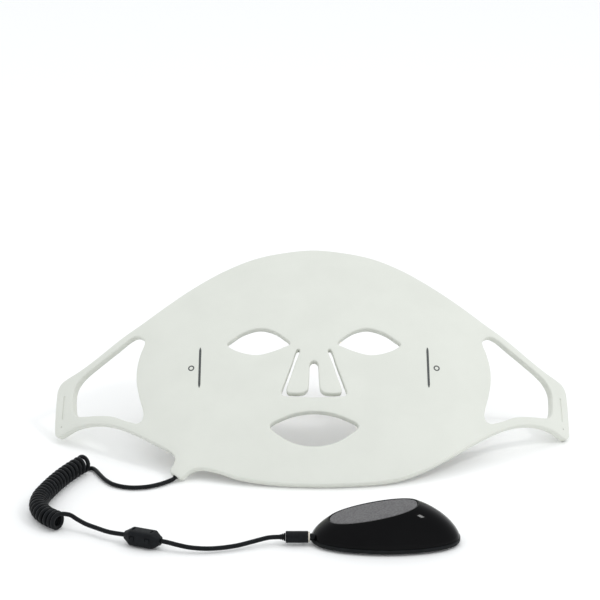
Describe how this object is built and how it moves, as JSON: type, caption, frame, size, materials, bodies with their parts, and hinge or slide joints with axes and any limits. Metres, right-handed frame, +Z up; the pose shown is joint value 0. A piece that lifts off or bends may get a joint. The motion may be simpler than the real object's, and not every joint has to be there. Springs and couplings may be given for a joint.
{
  "type": "led face mask",
  "caption": "Flexible silicone light-therapy face mask with eye, nose and mouth openings and wing strap loops, on a curly lead with a clip-on ferrite and a pebble controller.",
  "frame": {"origin": "centre of the bottom of the mask's and controller's box, on the floor they stand on; the free lead and what is on it are left out of that box", "axes": "+Z up, +X to the right of someone looking at the mask's front, -Y out of its front; the mask leans back 52 degrees towards +Y"},
  "size_m": [0.3645, 0.2555, 0.1211],
  "materials": {
    "white_silicone": "matt moulded",
    "translucent_silicone": "satin, translucent",
    "flexible_circuit": "matt film",
    "black_vinyl": "satin",
    "black_nylon": "fine moulded texture",
    "sintered_ferrite": "fired, matt",
    "nickel_plate": "nickel plated",
    "gloss_abs": "polished",
    "satin_abs": "satin",
    "matt_grey_pad": "matt, finely stippled",
    "screw_steel": "zinc plated",
    "foot_rubber": "matt",
    "battery_film": "foil pouch",
    "green_laminate": "solder mask",
    "switch_housing": "moulded"
  },
  "bodies": {
    "mask": {"front_cover": "white_silicone", "rear_cover": "translucent_silicone", "led_board": "flexible_circuit", "lead_solder_block": "switch_housing", "cable_sleeve": "black_vinyl", "lead_cord": "black_vinyl", "curly_cord": "black_vinyl", "tail_cord": "black_vinyl", "ferrite_case_lower": "black_nylon", "ferrite_core_lower": "sintered_ferrite", "plug_boot": "black_vinyl", "plug_body": "black_vinyl", "plug_barrel": "nickel_plate"},
    "left_wing": {"left_wing_loop": "white_silicone"},
    "right_wing": {"right_wing_loop": "white_silicone"},
    "left_flap": {"left_nose_flap": "white_silicone"},
    "right_flap": {"right_nose_flap": "white_silicone"},
    "ferrite_lid": {"ferrite_case_upper": "black_nylon", "ferrite_core_upper": "sintered_ferrite"},
    "controller": {"controller_upper_shell": "gloss_abs", "controller_lower_shell": "satin_abs", "tact_switch": "switch_housing", "circuit_board": "green_laminate", "battery_cell": "battery_film", "power_socket": "switch_housing", "screw_near_plug_front": "screw_steel", "screw_near_plug_rear": "screw_steel", "screw_far_front": "screw_steel", "screw_far_rear": "screw_steel", "foot_near_plug_front": "foot_rubber", "foot_near_plug_rear": "foot_rubber", "foot_far_front": "foot_rubber", "foot_far_rear": "foot_rubber"},
    "power_pad": {"press_pad": "matt_grey_pad", "switch_plunger": "switch_housing"}
  },
  "joints": [
    {"name": "left_wing_flex", "type": "hinge", "parent": "mask", "child": "left_wing", "pos_m": [-0.12723, 0.05993, 0.04117], "axis": [0, -0.788, -0.6157], "range_deg": [-10, 40], "stiffness_Nm_per_rad": 2},
    {"name": "right_wing_flex", "type": "hinge", "parent": "mask", "child": "right_wing", "pos_m": [0.1289, 0.06041, 0.04055], "axis": [0, 0.788, 0.6157], "range_deg": [-10, 40], "stiffness_Nm_per_rad": 2},
    {"name": "left_flap_flex", "type": "hinge", "parent": "mask", "child": "left_flap", "pos_m": [-0.007, 0.0489, 0.06177], "axis": [-1, 0, 0], "range_deg": [0, 40], "stiffness_Nm_per_rad": 0.02},
    {"name": "right_flap_flex", "type": "hinge", "parent": "mask", "child": "right_flap", "pos_m": [0.009, 0.0489, 0.06177], "axis": [-1, 0, 0], "range_deg": [0, 40], "stiffness_Nm_per_rad": 0.02},
    {"name": "ferrite_open", "type": "hinge", "parent": "mask", "child": "ferrite_lid", "pos_m": [-0.10378, -0.10739, 0.0056], "axis": [-0.9272, 0.3746, 0], "range_deg": [0, 100]},
    {"name": "controller_unplug", "type": "slide", "parent": "mask", "child": "controller", "axis": [1, 0, 0], "range_m": [0, 0.014]},
    {"name": "power_press", "type": "slide", "parent": "controller", "child": "power_pad", "axis": [0, 0, -1], "range_m": [0, 0.0006], "stiffness_N_per_m": 2500, "springref_m": -0.0002}
  ]
}
